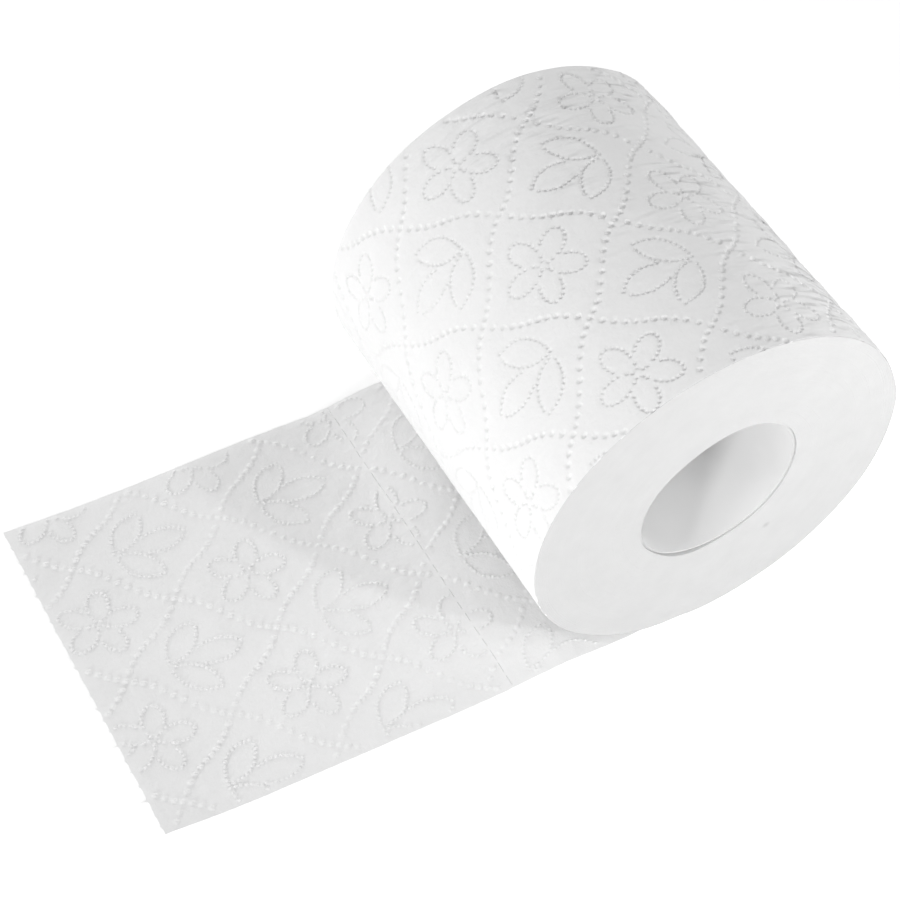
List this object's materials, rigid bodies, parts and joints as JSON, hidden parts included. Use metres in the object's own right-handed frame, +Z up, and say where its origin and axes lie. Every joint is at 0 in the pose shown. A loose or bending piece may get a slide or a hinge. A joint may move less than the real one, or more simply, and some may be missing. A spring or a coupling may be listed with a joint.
{
  "type": "toilet paper roll",
  "caption": "Full roll of white embossed toilet paper on a paperboard tube, lying on its side with its last sheet drawn out flat.",
  "frame": {"origin": "middle of the tube's bore, on its axis and halfway between the two end faces", "axes": "+Y along the bore, +Z up, the drawn-out sheet runs towards -X along the resting surface"},
  "size_m": [0.194, 0.1, 0.0995],
  "materials": {
    "tube_board": "matt white paperboard",
    "tissue_paper": "matt white soft embossed tissue"
  },
  "bodies": {
    "root": {"core_tube": "tube_board", "paper_web": "tissue_paper"}
  },
  "joints": []
}
